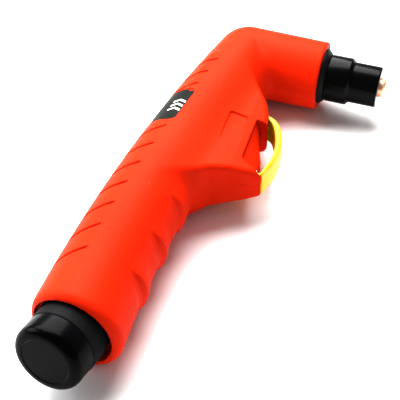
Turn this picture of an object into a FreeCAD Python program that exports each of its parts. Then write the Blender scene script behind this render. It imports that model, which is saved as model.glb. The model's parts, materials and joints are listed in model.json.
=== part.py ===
"""Air plasma cutting torch hand piece, in millimetres.

The torch lies on its side.  The origin is the centre of the handle's rear rim, +Y runs
forward along the handle, +X points to the trigger side and +Z is up, square to the plane
in which the two handle shells meet.  The handle is bent along a large arc in that plane,
and the head leaves its front end almost square to it.
"""
import FreeCAD, Part
import math
import os

V = FreeCAD.Vector

# Handle barrel: a tube bent along a large arc, which narrows to the elbow and swells
# towards the rim, mostly on the finger side.
BEND_R = 1007.0
ELBOW_ANGLE = math.radians(11.9)
BARREL_R = 19.95
BARREL_R_ELBOW = 19.1
SWELL_LENGTH = 90.0
SWELL_R = 0.95
SWELL_SHIFT = 0.95
WALL = 2.6
RIM_FILLET = 2.0
RIM_TILT = 6.0
RIM_CENTRE_Y = -1.75
RIM_BORE_R = 17.6
ELBOW_R = 19.4

# Head: a short tube that leaves the elbow along HEAD_HEADING, measured from +Y towards +X.
HEAD_HEADING = math.radians(93.0)
HEAD_TUBE_R = 18.5
HEAD_TUBE_BORE_R = 16.1
HEAD_TUBE_LENGTH = 42.5

# Cable gland and its push-in cap.  The gland's neck is on the handle's axis, and the
# sleeve behind the rim leans to the spine's side and up.
SLEEVE_AXIS = V(-0.1738, -0.9766, 0.1252).normalize()
GLAND_R = 15.8
GLAND_BORE_R = 10.0
SLEEVE_LENGTH = 9.7
SLEEVE_CHAMFER = 0.6
ELBOW_BALL_R = 15.6
GLAND_FRONT_Y = 16.0
GLAND_FLANGE_R = 17.1
GLAND_FLANGE_Y = (7.0, 10.0)
CAP_R = 15.5
CAP_FRONT = 10.0
CAP_REAR = 21.0
SPIGOT_FRONT = 2.0
SPIGOT_WALL = 1.6
CAP_EDGE_FILLET = 3.4
SPIGOT_GAP = 0.3

# Trigger housing: its outline in the bend plane and half its width at four distances.
HOUSING_HALF_WIDTH = [(10.0, 14.6), (30.0, 13.0), (38.0, 11.7), (46.0, 9.5), (52.7, 7.0)]
NOTCH_X = 41.3
NOTCH_REAR_Y = 114.0
NOTCH_FRONT_Y = 143.6
WEB_HALF_WIDTH = 5.0
POCKET_Y = (145.6, 155.0)
POCKET_FLOOR_X = 39.0
POCKET_HALF_WIDTH = 7.6
PANEL_X = (28.0, 37.5)
PANEL_Y = (122.0, 143.0)
PANEL_DEPTH = 0.6

# Trigger lever, its pivot and its switch.
PIVOT = (48.3, 111.3)
PIVOT_R = 1.25
PIVOT_CLEARANCE = 0.05
LUG_R = 2.7
LUG_HALF_WIDTH = 2.2
LUG_SIDE_GAP = 0.4
LEVER_HALF_WIDTH = 7.1
PLUNGER_Y = 151.2
PLUNGER_R = 1.6
PLUNGER_TIP_X = 42.6
PAD_X = 42.9
SWITCH_X = (25.0, 36.5)

# Screws that hold the left shell to the right one: x, y and the height of the head's seat.
SCREWS = [
    (12.4, 26.0, -11.0),
    (-8.6, 84.0, -11.5),
    (34.0, 113.0, -8.5),
    (31.0, 163.5, -8.0),
    (5.6, 189.0, -11.0),
]
SCREW_R = 1.5
SCREW_HEAD_R = 2.8
SCREW_HEAD_HEIGHT = 2.0
SCREW_TIP_Z = 7.0
BOSS_R = 3.3

# Grip detail: rearward-bowed grooves across the spine, and the label between them.
GROOVE_PITCH = 14.6
REAR_GROOVES = [28.2 + GROOVE_PITCH * count for count in range(7)]
FRONT_GROOVES = [153.8, 165.8, 178.0]
GROOVE_R = 0.7
GROOVE_HALF_ANGLE = math.radians(80.0)
GROOVE_LEAN = math.radians(9.0)
LABEL_Y = (119.5, 146.5)
LABEL_HALF_ANGLE = math.radians(84.0)
LABEL_DEPTH = 0.9

# Leads inside the handle.
POWER_TUBE_R = 4.0
COUPLING_R = 7.4
COUPLING_Y = (24.0, 38.0)
PILOT_LEAD_R = 1.6
SWITCH_LEAD_R = 0.9


def spine(angle, offset=0.0, z=0.0):
    """Point of the handle's bent axis at an arc angle, moved sideways towards +X."""
    reach = BEND_R - offset
    return V(BEND_R - reach * math.cos(angle), reach * math.sin(angle), z)


def along(angle):
    """Forward direction of the handle's axis at an arc angle."""
    return V(math.sin(angle), math.cos(angle), 0)


def angle_at(y):
    """Arc angle of the axis point at a distance forward of the rim."""
    return math.asin(y / BEND_R)


def swell(angle):
    """Share of the rim's swelling that is left at an arc angle."""
    return max(0.0, min(1.0, 1 - BEND_R * angle / SWELL_LENGTH)) ** 2


def barrel_radius(angle):
    """Outer radius of the barrel at an arc angle."""
    narrowing = (BARREL_R - BARREL_R_ELBOW) * (angle / ELBOW_ANGLE) ** 2
    return BARREL_R - narrowing + SWELL_R * swell(angle)


ELBOW = spine(ELBOW_ANGLE)
HEAD_AXIS = V(math.sin(HEAD_HEADING), math.cos(HEAD_HEADING), 0)


def on_head(distance):
    """Point on the head's axis at a distance from the elbow's centre."""
    return ELBOW + HEAD_AXIS * distance


def rod(radius, start, direction, length):
    """Cylinder from a start point."""
    return Part.makeCylinder(radius, length, start, direction)


def ring(outer_r, inner_r, start, direction, length):
    """Plain ring or bush."""
    return rod(outer_r, start, direction, length).cut(rod(inner_r, start, direction, length))


def turned(profile, start, direction):
    """Solid turned about an axis; the profile is (distance along the axis, radius) points."""
    points = [V(radius, 0, distance) for distance, radius in profile]
    face = Part.Face(Part.makePolygon(points + points[:1]))
    solid = face.revolve(V(0, 0, 0), V(0, 0, 1), 360)
    solid.Placement = FreeCAD.Placement(start, FreeCAD.Rotation(V(0, 0, 1), direction))
    return solid


def prism(outline, half_height):
    """Upright prism, centred on the bend plane, over a closed outline of (x, y) points."""
    points = [V(x, y, -half_height) for x, y in outline]
    face = Part.Face(Part.makePolygon(points + points[:1]))
    return face.extrude(V(0, 0, 2 * half_height))


def block(x_range, y_range, z_range):
    """Box between three pairs of limits."""
    size = [limits[1] - limits[0] for limits in (x_range, y_range, z_range)]
    return Part.makeBox(*size, V(x_range[0], y_range[0], z_range[0]))


def barrel(inset, rear_angle=0.0, front_angle=ELBOW_ANGLE, steps=8):
    """Stretch of the bent barrel as a solid, its surface moved in by an inset."""
    circles = []
    for step in range(steps + 1):
        angle = rear_angle + (front_angle - rear_angle) * step / steps
        centre = spine(angle, SWELL_SHIFT * swell(angle))
        circle = Part.makeCircle(barrel_radius(angle) - inset, centre, along(angle))
        circles.append(Part.Wire([circle]))
    return Part.makeLoft(circles, True, False)


def half_width(x):
    """Half the trigger housing's width at a distance x."""
    table = HOUSING_HALF_WIDTH
    for (x0, width0), (x1, width1) in zip(table, table[1:]):
        if x <= x1:
            return width0 + (width1 - width0) * (x - x0) / (x1 - x0)
    return table[-1][1]


def wedge(inset):
    """Long bar whose cross-section is the trigger housing's width, from side to side."""
    upper = [(x, width - inset) for x, width in HOUSING_HALF_WIDTH]
    lower = [(x, -width) for x, width in reversed(upper)]
    points = [V(x, 80, z) for x, z in upper + lower]
    face = Part.Face(Part.makePolygon(points + points[:1]))
    return face.extrude(V(0, 110, 0))


REAR_FACE = [(12, 90), (24, 95), (29.5, 99.7), (37.5, 103), (46, 105.2), (52.4, 107.0)]
REAR_LIP = [(52.7, 107.6), (50.9, 108.3)]
FRONT_FACE = [(47.2, 144.3), (46.8, 149), (43.3, 160), (37, 169), (24, 177), (12, 177)]


def housing_outside():
    """Trigger housing: side walls cut back by the notch, with a ramped web between them."""
    notch = [(43.6, 110.8), (NOTCH_X, NOTCH_REAR_Y), (NOTCH_X, NOTCH_FRONT_Y)]
    walls = prism(REAR_FACE + REAR_LIP + notch + FRONT_FACE, 20)
    ramp = REAR_LIP + [(50.9, 110.5), (50.4, 115), (48.9, 123), (45.5, 133), (43, NOTCH_FRONT_Y)]
    web = prism([(38, 103.4)] + REAR_FACE[4:] + ramp + [(38, NOTCH_FRONT_Y)], WEB_HALF_WIDTH)
    return walls.fuse(web).common(wedge(0))


def housing_hollow():
    """Space inside the trigger housing."""
    outline = [(8, 93), (23, 98), (28.5, 102.3), (38.7, 106.3), (38.7, 141), (36.7, 143.5),
               (36.7, 160.5), (31, 168), (12, 174)]
    return prism(outline, 20).common(wedge(WALL - 0.2))


def head_tube(radius, start, end):
    """Cylinder about the head's axis between two distances from the elbow's centre."""
    return rod(radius, on_head(start), HEAD_AXIS, end - start)


def shell_outside():
    """Outer form of the two handle shells together."""
    behind_rim = block((-60, 60), (-60, 0), (-40, 40))
    behind_rim.rotate(V(0, 0, 0), V(0, 0, 1), -RIM_TILT)
    behind_rim.translate(V(0, RIM_CENTRE_Y, 0))
    body = barrel(0, rear_angle=-0.008).cut(behind_rim)
    rim_normal = V(math.sin(math.radians(RIM_TILT)), math.cos(math.radians(RIM_TILT)), 0)
    rim_edges = [edge for edge in body.Edges
                 if abs((edge.CenterOfMass - V(0, RIM_CENTRE_Y, 0)).dot(rim_normal)) < 0.05]
    body = body.makeFillet(RIM_FILLET, rim_edges)
    elbow = Part.makeSphere(ELBOW_R, ELBOW)
    return body.fuse([elbow, head_tube(HEAD_TUBE_R, 0, HEAD_TUBE_LENGTH), housing_outside()])


def shell_hollow():
    """Space inside the two handle shells, open at the rim and at the head."""
    rim_bore = rod(RIM_BORE_R, V(0, -6, 0), V(0, 1, 0), 9)
    bore = barrel(WALL).fuse(rim_bore)
    elbow = Part.makeSphere(ELBOW_R - WALL, ELBOW)
    head = head_tube(HEAD_TUBE_BORE_R, 0, HEAD_TUBE_LENGTH + 5)
    return bore.fuse([elbow, head, housing_hollow()])


def shell_ribs():
    """Ribs that grip the gland's flange and the head moulding's groove."""
    forward = V(0, 1, 0)
    rear = ring(19.2, GLAND_R, V(0, GLAND_FLANGE_Y[0] - 3.0, 0), forward, 2.8)
    front = ring(19.2, GLAND_R, V(0, GLAND_FLANGE_Y[1] + 0.2, 0), forward, 2.8)
    head = ring(17.0, 13.4, on_head(30.0), HEAD_AXIS, 3.0)
    return [rear, front, head]


def screw_bosses():
    """Round bosses that the shell screws run through."""
    return [rod(BOSS_R, V(x, y, -25), V(0, 0, 1), 50) for x, y, seat in SCREWS]


def screw_holes():
    """Counterbores and clearance holes for the shell screws."""
    holes = []
    for x, y, seat in SCREWS:
        holes.append(rod(SCREW_HEAD_R + 0.3, V(x, y, seat), V(0, 0, -1), 30))
        holes.append(rod(SCREW_R + 0.05, V(x, y, seat - 1), V(0, 0, 1), SCREW_TIP_Z - seat + 1.3))
    return holes


def switch_pocket():
    """Room for the lever's front tongue, the plunger's guide hole and the spring's seat."""
    room = block((POCKET_FLOOR_X, 70), POCKET_Y, (-POCKET_HALF_WIDTH, POCKET_HALF_WIDTH))
    guide = rod(PLUNGER_R + 0.1, V(30, PLUNGER_Y, 0), V(1, 0, 0), 12)
    return room.fuse(guide)


def pivot_cuts():
    """Slot for the lever's lug and the hole for its pin."""
    slot_half = LUG_HALF_WIDTH + LUG_SIDE_GAP
    slot = block((PIVOT[0] - 3.4, 60), (PIVOT[1] - 3.6, PIVOT[1] + 7), (-slot_half, slot_half))
    hole = rod(PIVOT_R, V(PIVOT[0], PIVOT[1], -20), V(0, 0, 1), 40)
    return [slot, hole]


def side_panels():
    """Shallow rectangular recess in each side face of the trigger housing."""
    cuts = []
    for side in (1, -1):
        floor = [(x, side * (half_width(x) - PANEL_DEPTH)) for x in PANEL_X]
        points = [V(x, PANEL_Y[0], z) for x, z in floor]
        points += [V(PANEL_X[1], PANEL_Y[0], side * 20), V(PANEL_X[0], PANEL_Y[0], side * 20)]
        face = Part.Face(Part.makePolygon(points + points[:1]))
        cuts.append(face.extrude(V(0, PANEL_Y[1] - PANEL_Y[0], 0)))
    return cuts


def spine_grooves():
    """Thin grooves that run round the spine and lean back over it."""
    grooves = []
    for y in REAR_GROOVES + FRONT_GROOVES:
        angle = angle_at(y)
        normal = along(angle - GROOVE_LEAN)
        centre = spine(angle, SWELL_SHIFT * swell(angle))
        groove = Part.makeTorus(barrel_radius(angle) + 0.25, GROOVE_R, centre, normal)
        grooves.append(groove.common(spine_side(angle, GROOVE_HALF_ANGLE, y - 30, y + 20)))
    return grooves


def spine_side(angle, half_angle, y_low, y_high):
    """Wedge on the spine's side of the barrel, within an angle of the spine's middle."""
    reach = 60.0
    centre = spine(angle)
    side = reach * math.sin(half_angle)
    depth = reach * math.cos(half_angle)
    corners = [(0, 0), (depth, -side), (reach, -side), (reach, side), (depth, side)]
    points = [V(centre.x - back, y_low, z) for back, z in corners]
    face = Part.Face(Part.makePolygon(points + points[:1]))
    return face.extrude(V(0, y_high - y_low, 0))


def label_zone(inset, depth_limit, margin):
    """Part of the barrel's skin under the label, from an inset down to a depth limit."""
    ends = (angle_at(LABEL_Y[0] - 12), angle_at(LABEL_Y[1] + 12))
    skin = barrel(inset, *ends, 3).cut(barrel(depth_limit, *ends, 3))
    middle = angle_at(sum(LABEL_Y) / 2)
    zone = spine_side(middle, LABEL_HALF_ANGLE - margin / BARREL_R,
                      LABEL_Y[0] + margin, LABEL_Y[1] - margin)
    return skin.common(zone)


def handle_shells():
    """Right and left handle shells."""
    outside = shell_outside()
    shell = outside.cut(shell_hollow())
    bosses = [boss.common(outside) for boss in screw_bosses()]
    shell = shell.fuse(bosses + shell_ribs())
    cuts = screw_holes() + pivot_cuts() + side_panels() + spine_grooves()
    cuts += [switch_pocket(), label_zone(-1.0, LABEL_DEPTH, 0.0)]
    shell = shell.cut(cuts)
    right = shell.common(block((-40, 120), (-20, 240), (0, 40)))
    left = shell.common(block((-40, 120), (-20, 240), (-40, 0)))
    return right, left


def largest(shape):
    """The one large solid of a shape."""
    return max(shape.Solids, key=lambda solid: solid.Volume)


def label_plate():
    """Inset label that wraps over the spine."""
    return largest(label_zone(0.1, LABEL_DEPTH - 0.1, 0.2))


def shell_screws():
    """Self-tapping pan-head screws, as one group."""
    screws = []
    for x, y, seat in SCREWS:
        head = rod(SCREW_HEAD_R, V(x, y, seat), V(0, 0, -1), SCREW_HEAD_HEIGHT)
        shank = rod(SCREW_R, V(x, y, seat), V(0, 0, 1), SCREW_TIP_Z - seat)
        screw = head.fuse(shank)
        for turn in (0, 90):
            slot = Part.makeBox(3.2, 0.8, 1.1, V(x - 1.6, y - 0.4, seat - SCREW_HEAD_HEIGHT - 0.1))
            slot.rotate(V(x, y, 0), V(0, 0, 1), turn)
            screw = screw.cut(slot)
        screws.append(screw.removeSplitter())
    return Part.makeCompound(screws)


def cable_gland():
    """Flanged bush that carries the cable at the rim, with its leaning sleeve."""
    low, high = GLAND_FLANGE_Y
    forward = V(0, 1, 0)
    neck = rod(GLAND_R - 0.4, V(0, 0, 0), forward, GLAND_FRONT_Y)
    flange = rod(GLAND_FLANGE_R, V(0, low, 0), forward, high - low)
    profile = [(0, 0), (0, GLAND_R), (SLEEVE_LENGTH - SLEEVE_CHAMFER, GLAND_R),
               (SLEEVE_LENGTH, GLAND_R - SLEEVE_CHAMFER), (SLEEVE_LENGTH, 0)]
    sleeve = turned(profile, V(0, 0, 0), SLEEVE_AXIS)
    ball = Part.makeSphere(ELBOW_BALL_R).common(rod(GLAND_R + 5, SLEEVE_AXIS, SLEEVE_AXIS * -1, 10))
    bush = neck.fuse([flange, ball, sleeve])
    neck_bore = rod(GLAND_BORE_R, V(0, 0, 0), forward, GLAND_FRONT_Y + 1)
    sleeve_bore = rod(GLAND_BORE_R, V(0, 0, 0), SLEEVE_AXIS, SLEEVE_LENGTH + 1)
    ball_bore = Part.makeSphere(GLAND_BORE_R)
    return bush.cut([neck_bore, sleeve_bore, ball_bore])


def rear_cap():
    """Push-in cap that closes the gland until a cable is fitted."""
    spigot_r = GLAND_BORE_R - SPIGOT_GAP
    profile = [(CAP_REAR, 0), (CAP_REAR, CAP_R), (CAP_FRONT, CAP_R), (CAP_FRONT, spigot_r),
               (SPIGOT_FRONT, spigot_r), (SPIGOT_FRONT, spigot_r - SPIGOT_WALL),
               (CAP_FRONT, spigot_r - SPIGOT_WALL), (CAP_FRONT, 0)]
    cap = turned(profile, V(0, 0, 0), SLEEVE_AXIS)
    rear_edges = [edge for edge in cap.Edges if abs(edge.CenterOfMass.dot(SLEEVE_AXIS) - CAP_REAR) < 0.01
                  and abs(edge.Length - 2 * math.pi * CAP_R) < 1]
    return cap.makeFillet(CAP_EDGE_FILLET, rear_edges)


def gland_nut():
    """Ring nut inside the handle that clamps the gland's bush on the lead."""
    nut = ring(13.4, POWER_TUBE_R + 2.2, V(0, GLAND_FRONT_Y, 0), V(0, 1, 0), 6.0)
    for turn in range(6):
        notch = block((12.2, 14), (GLAND_FRONT_Y - 1, GLAND_FRONT_Y + 7), (-1.5, 1.5))
        notch.rotate(V(0, 0, 0), V(0, 1, 0), 60 * turn + 30)
        nut = nut.cut(notch)
    return nut


def lead_along_barrel(radius, offset, z, y_start, y_end):
    """Round lead that follows the bent axis at a sideways offset and a height."""
    start = angle_at(y_start)
    end = angle_at(y_end)
    circle = Part.makeCircle(radius, spine(start, offset, z), along(start))
    face = Part.Face(Part.Wire([circle]))
    return face.revolve(V(BEND_R, 0, 0), V(0, 0, -1), math.degrees(end - start))


def gas_power_tube():
    """Brass tube that brings gas and current to the head."""
    return lead_along_barrel(POWER_TUBE_R, 0, 0, COUPLING_Y[0], 183)


def lead_coupling():
    """Hexagon coupling at the power tube's rear end, where a cable's lead screws on."""
    coupling = Part.Face(Part.makePolygon([
        V(COUPLING_R * math.cos(corner), COUPLING_Y[0], COUPLING_R * math.sin(corner))
        for corner in [math.radians(60 * i) for i in range(7)]])).extrude(V(0, COUPLING_Y[1] - COUPLING_Y[0], 0))
    bore = lead_along_barrel(POWER_TUBE_R + 0.3, 0, 0, COUPLING_Y[0], COUPLING_Y[1] + 5)
    tail = ring(6.0, 3.2, V(0, GLAND_FRONT_Y + 1, 0), V(0, 1, 0), COUPLING_Y[0] - GLAND_FRONT_Y - 1)
    return coupling.cut(bore).fuse(tail)


def pilot_lead():
    """Insulated lead of the pilot arc, laid below the power tube."""
    return lead_along_barrel(PILOT_LEAD_R, -1.0, -8.4, 24, 192)


def switch_leads():
    """Two thin leads from the cable gland to the switch."""
    leads = []
    for side in (-1, 1):
        z = 8.2 + 0.9 * side
        offset = 2.2 * side
        run = lead_along_barrel(SWITCH_LEAD_R, offset, z, 24, 128 + 4 * side)
        end_angle = angle_at(128 + 4 * side)
        start = spine(end_angle, offset, z)
        forward = along(end_angle)
        bend = 9.0
        corner = start + forward * bend
        exit_point = corner + V(1, 0, 0) * bend
        last = V(SWITCH_X[0] - 1.0, exit_point.y, exit_point.z)
        path = Part.Wire([Part.Arc(start, arc_middle(start, forward, exit_point, V(1, 0, 0)),
                                   exit_point).toShape(),
                          Part.LineSegment(exit_point, last).toShape()])
        section = Part.Wire([Part.makeCircle(SWITCH_LEAD_R, start, forward)])
        turn = path.makePipeShell([section], True, False)
        leads.append(run.fuse(turn).removeSplitter())
    return Part.makeCompound(leads)


def arc_middle(start, start_direction, end, end_direction):
    """Middle point of the circular arc between two points with known directions."""
    chord = end - start
    bisector = (start_direction - end_direction)
    bisector.normalize()
    half_turn = start_direction.getAngle(end_direction) / 2
    rise = chord.Length / 2 * math.tan(half_turn / 2)
    return start + chord * 0.5 + bisector * rise


def torch_head_body():
    """Insulating moulding inside the elbow and the head tube, with a flared collar."""
    profile = [(-7, 0), (-7, 15.0), (29.7, 15.8), (29.7, 13.1), (33.3, 13.1), (33.3, 15.8), (42.8, 15.8),
               (42.8, 14.9), (43.6, 14.9), (45.6, 12.9), (45.6, 7.6), (52.8, 7.6), (52.8, 0)]
    body = turned(profile, ELBOW, HEAD_AXIS)
    back = along(ELBOW_ANGLE) * -1
    body = body.fuse(rod(8.6, ELBOW, back, 24))
    body = body.cut(rod(POWER_TUBE_R + 0.05, ELBOW, back, 30))
    body = body.cut(head_tube(4.6, -3, 60))
    pilot = lead_along_barrel(PILOT_LEAD_R + 0.1, -1.0, -8.4, 170, 193)
    return body.cut(pilot)


def cathode_body():
    """Brass core of the head that holds the electrode and takes the power tube."""
    core = head_tube(4.5, -2.8, 46.0)
    back = along(ELBOW_ANGLE) * -1
    core = core.fuse(rod(3.9, ELBOW, back, 24.0))
    return core.cut(head_tube(2.6, 38, 47))


def anode_ring():
    """Brass ring on the head's nose that the shield cup screws on."""
    return ring(9.5, 7.65, on_head(45.8), HEAD_AXIS, 7.0)


def head_o_ring():
    """Seal behind the anode ring's thread."""
    seal = Part.makeTorus(10.5, 0.85, V(0, 0, 0), V(0, 0, 1))
    seal.Placement = FreeCAD.Placement(on_head(46.8), FreeCAD.Rotation(V(0, 0, 1), HEAD_AXIS))
    return seal.cut(head_tube(9.5, 40, 60))


def swirl_ring():
    """Gas distributor with slanted holes round it."""
    body = ring(7.6, 5.5, on_head(53.0), HEAD_AXIS, 7.8)
    across = HEAD_AXIS.cross(V(0, 0, 1))
    for turn in range(6):
        hole = rod(0.6, on_head(57) + across * 3.0, V(0, 0, 1), 12)
        hole.rotate(on_head(57), HEAD_AXIS, 60 * turn)
        body = body.cut(hole)
    return body


def electrode():
    """Copper electrode screwed into the cathode body."""
    profile = [(39.0, 0), (39.0, 2.5), (46.2, 2.5), (46.2, 4.4), (53.0, 4.4), (54.0, 5.0), (64.5, 5.0),
               (66.0, 3.6), (66.0, 0)]
    body = turned(profile, ELBOW, HEAD_AXIS)
    return body.cut(head_tube(0.8, 62.0, 67.0))


def emitter_insert():
    """Hafnium pin pressed into the electrode's face."""
    return head_tube(0.8, 62.0, 66.0)


def cutting_tip():
    """Copper nozzle whose nose stands out of the shield cup."""
    profile = [(61.2, 5.6), (61.2, 7.7), (66.0, 7.7), (67.0, 6.3), (70.0, 5.4), (70.6, 5.0), (76.4, 5.0),
               (77.3, 4.0), (77.3, 0.6), (69.0, 0.6), (67.5, 5.6)]
    return turned(profile, ELBOW, HEAD_AXIS)


def shield_cup():
    """Stepped black cup that screws on the head and holds the tip."""
    profile = [(45.9, 11.7), (45.9, 12.8), (57.5, 12.8), (59.2, 11.1), (73.2, 11.1), (74.0, 10.3),
               (74.0, 5.3), (70.6, 5.3), (70.6, 8.0), (53.2, 8.0), (53.2, 11.05), (48.2, 11.05), (48.2, 11.7)]
    return turned(profile, ELBOW, HEAD_AXIS)


def cup_thread_insert():
    """Brass thread insert moulded into the shield cup."""
    return ring(11.0, 9.8, on_head(48.3), HEAD_AXIS, 4.8)


def trigger_lever():
    """Bowed trigger lever with a lug for its pivot pin and a pad over the plunger."""
    z = -LEVER_HALF_WIDTH
    outer_front = Part.Arc(V(45.6, 153.8, z), V(49.9, 151.5, z), V(53.1, 147.4, z))
    outer_bow = Part.Arc(V(53.1, 147.4, z), V(57.5, 126.5, z), V(53.3, 108.9, z))
    rear_end = Part.Arc(V(53.3, 108.9, z), V(52.4, 108.2, z), V(51.5, 108.9, z))
    inner_bow = Part.Arc(V(51.5, 108.9, z), V(54.7, 126.8, z), V(50.2, 146.0, z))
    inner_front = Part.Arc(V(50.2, 146.0, z), V(48.0, 148.9, z), V(44.6, 150.8, z))
    tongue_end = Part.LineSegment(V(44.6, 150.8, z), V(45.6, 153.8, z))
    pieces = [outer_front, outer_bow, rear_end, inner_bow, inner_front, tongue_end]
    face = Part.Face(Part.Wire([piece.toShape() for piece in pieces]))
    bow = face.extrude(V(0, 0, 2 * LEVER_HALF_WIDTH))
    lug = rod(LUG_R, V(PIVOT[0], PIVOT[1], -LUG_HALF_WIDTH), V(0, 0, 1), 2 * LUG_HALF_WIDTH)
    neck = block((PIVOT[0], 52.9), (PIVOT[1] - 1.0, PIVOT[1] + LUG_R), (-LUG_HALF_WIDTH, LUG_HALF_WIDTH))
    pad = block((PAD_X, 47.4), (PLUNGER_Y - 1.7, PLUNGER_Y + 1.7), (-3, 3))
    lever = bow.fuse([lug, neck, pad])
    eye = rod(PIVOT_R + PIVOT_CLEARANCE, V(PIVOT[0], PIVOT[1], -20), V(0, 0, 1), 40)
    return lever.cut(eye).removeSplitter()


def trigger_pivot_pin():
    """Steel pin of the trigger's hinge, held in the housing's web."""
    length = 2 * WEB_HALF_WIDTH - 0.6
    return rod(PIVOT_R, V(PIVOT[0], PIVOT[1], -length / 2), V(0, 0, 1), length)


def trigger_spring():
    """Compression spring between the pocket's floor and the lever's tongue."""
    start_x = POCKET_FLOOR_X + 0.3
    coil_r = 1.5
    wire_r = 0.25
    length = 8.0
    helix = Part.makeHelix(length / 6, length, coil_r)
    section = Part.Wire([Part.makeCircle(wire_r, V(coil_r, 0, 0), V(0, 1, 0))])
    spring = Part.Wire(helix.Edges).makePipeShell([section], True, True)
    turn = FreeCAD.Rotation(V(0, 0, 1), V(1, 0, 0))
    spring.Placement = FreeCAD.Placement(V(start_x, 147.6, 0), turn)
    return spring


def switch_body():
    """Microswitch case, screwed in behind the pocket's floor."""
    case = block(SWITCH_X, (PLUNGER_Y - 8, PLUNGER_Y + 7), (-5, 5))
    hole = rod(PLUNGER_R + 0.05, V(SWITCH_X[0] + 4, PLUNGER_Y, 0), V(1, 0, 0), 20)
    case = case.cut(hole)
    for y in (PLUNGER_Y - 5.5, PLUNGER_Y + 4.5):
        case = case.cut(rod(1.15, V(SWITCH_X[0] + 3, y, -10), V(0, 0, 1), 20))
    return case


def switch_pins():
    """Two pins that hold the microswitch, as one group."""
    places = (PLUNGER_Y - 5.5, PLUNGER_Y + 4.5)
    return Part.makeCompound([rod(1.1, V(SWITCH_X[0] + 3, y, -9), V(0, 0, 1), 18) for y in places])


def switch_terminals():
    """Solder tags at the back of the microswitch, as one group."""
    tags = [block((SWITCH_X[0] - 4, SWITCH_X[0]), (y - 0.3, y + 0.3), (-1.2, 1.2))
            for y in (PLUNGER_Y - 4, PLUNGER_Y + 3)]
    return Part.makeCompound(tags)


def switch_plunger():
    """Button that the lever pushes into the microswitch."""
    stem = rod(PLUNGER_R, V(SWITCH_X[0] + 7.5, PLUNGER_Y, 0), V(1, 0, 0),
               PLUNGER_TIP_X - SWITCH_X[0] - 7.5)
    tip = [edge for edge in stem.Edges if abs(edge.CenterOfMass.x - PLUNGER_TIP_X) < 0.01]
    return stem.makeFillet(0.5, [edge for edge in tip if edge.Length > 5])


def main():
    """Write every node to parts/."""
    os.makedirs("parts", exist_ok=True)
    right, left = handle_shells()
    nodes = {
        "handle_shell_right": right,
        "handle_shell_left": left,
        "label_plate": label_plate(),
        "shell_screws": shell_screws(),
        "cable_gland": cable_gland(),
        "gland_nut": gland_nut(),
        "rear_cap": rear_cap(),
        "lead_coupling": lead_coupling(),
        "gas_power_tube": gas_power_tube(),
        "pilot_lead": pilot_lead(),
        "switch_leads": switch_leads(),
        "torch_head_body": torch_head_body(),
        "cathode_body": cathode_body(),
        "anode_ring": anode_ring(),
        "head_o_ring": head_o_ring(),
        "swirl_ring": swirl_ring(),
        "electrode": electrode(),
        "emitter_insert": emitter_insert(),
        "cutting_tip": cutting_tip(),
        "shield_cup": shield_cup(),
        "cup_thread_insert": cup_thread_insert(),
        "trigger_lever": trigger_lever(),
        "trigger_pivot_pin": trigger_pivot_pin(),
        "trigger_spring": trigger_spring(),
        "switch_body": switch_body(),
        "switch_pins": switch_pins(),
        "switch_terminals": switch_terminals(),
        "switch_plunger": switch_plunger(),
    }
    for name, shape in nodes.items():
        shape.exportStep(f"parts/{name}.step")
        box = shape.BoundBox
        print(f"{name}: {len(shape.Solids)} solids, valid {shape.isValid()}, {shape.Volume / 1000:.2f} cm3,",
              f"x {box.XMin:.1f}..{box.XMax:.1f} y {box.YMin:.1f}..{box.YMax:.1f} z {box.ZMin:.1f}..{box.ZMax:.1f}")


main()
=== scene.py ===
"""Looks of the hand torch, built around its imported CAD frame.

The shells and the trigger lever are meshed from distance fields; turned pieces are spun from
rounded profiles.  Both are written in millimetres, in the frame's own coordinates.
"""
import json
import math

import bmesh
import bpy
import numpy as np
from mathutils import Matrix, Vector


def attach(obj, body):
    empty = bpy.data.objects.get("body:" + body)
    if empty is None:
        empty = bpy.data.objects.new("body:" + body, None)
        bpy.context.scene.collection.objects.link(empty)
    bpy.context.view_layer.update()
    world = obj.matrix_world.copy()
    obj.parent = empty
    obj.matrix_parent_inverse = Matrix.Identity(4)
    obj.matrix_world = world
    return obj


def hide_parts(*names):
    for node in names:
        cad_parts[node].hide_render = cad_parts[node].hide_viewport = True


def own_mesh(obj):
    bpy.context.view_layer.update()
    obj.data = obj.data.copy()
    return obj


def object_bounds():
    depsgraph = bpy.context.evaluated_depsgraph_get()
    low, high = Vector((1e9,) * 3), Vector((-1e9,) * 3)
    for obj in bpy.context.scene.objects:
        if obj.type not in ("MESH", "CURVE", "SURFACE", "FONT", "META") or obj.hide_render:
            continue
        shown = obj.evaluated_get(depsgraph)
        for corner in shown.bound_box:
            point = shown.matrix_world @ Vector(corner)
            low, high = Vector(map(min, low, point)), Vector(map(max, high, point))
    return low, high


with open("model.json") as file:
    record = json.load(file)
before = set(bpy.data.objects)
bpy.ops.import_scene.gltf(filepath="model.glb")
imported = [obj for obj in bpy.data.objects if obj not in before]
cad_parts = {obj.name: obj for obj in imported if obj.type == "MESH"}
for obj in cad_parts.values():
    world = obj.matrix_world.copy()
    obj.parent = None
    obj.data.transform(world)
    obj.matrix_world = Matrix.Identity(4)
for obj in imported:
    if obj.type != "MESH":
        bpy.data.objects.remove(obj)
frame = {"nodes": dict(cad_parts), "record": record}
cad_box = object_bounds()

MM = 0.001

# Handle barrel, as in the frame: a bent tube that swells towards the rim.
BEND_R = 1007.0
ELBOW_ANGLE = math.radians(11.9)
BARREL_R = 19.95
BARREL_R_ELBOW = 19.1
SWELL_LENGTH = 90.0
SWELL_R = 0.90
SWELL_SHIFT = 0.95
WALL = 2.6

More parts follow.
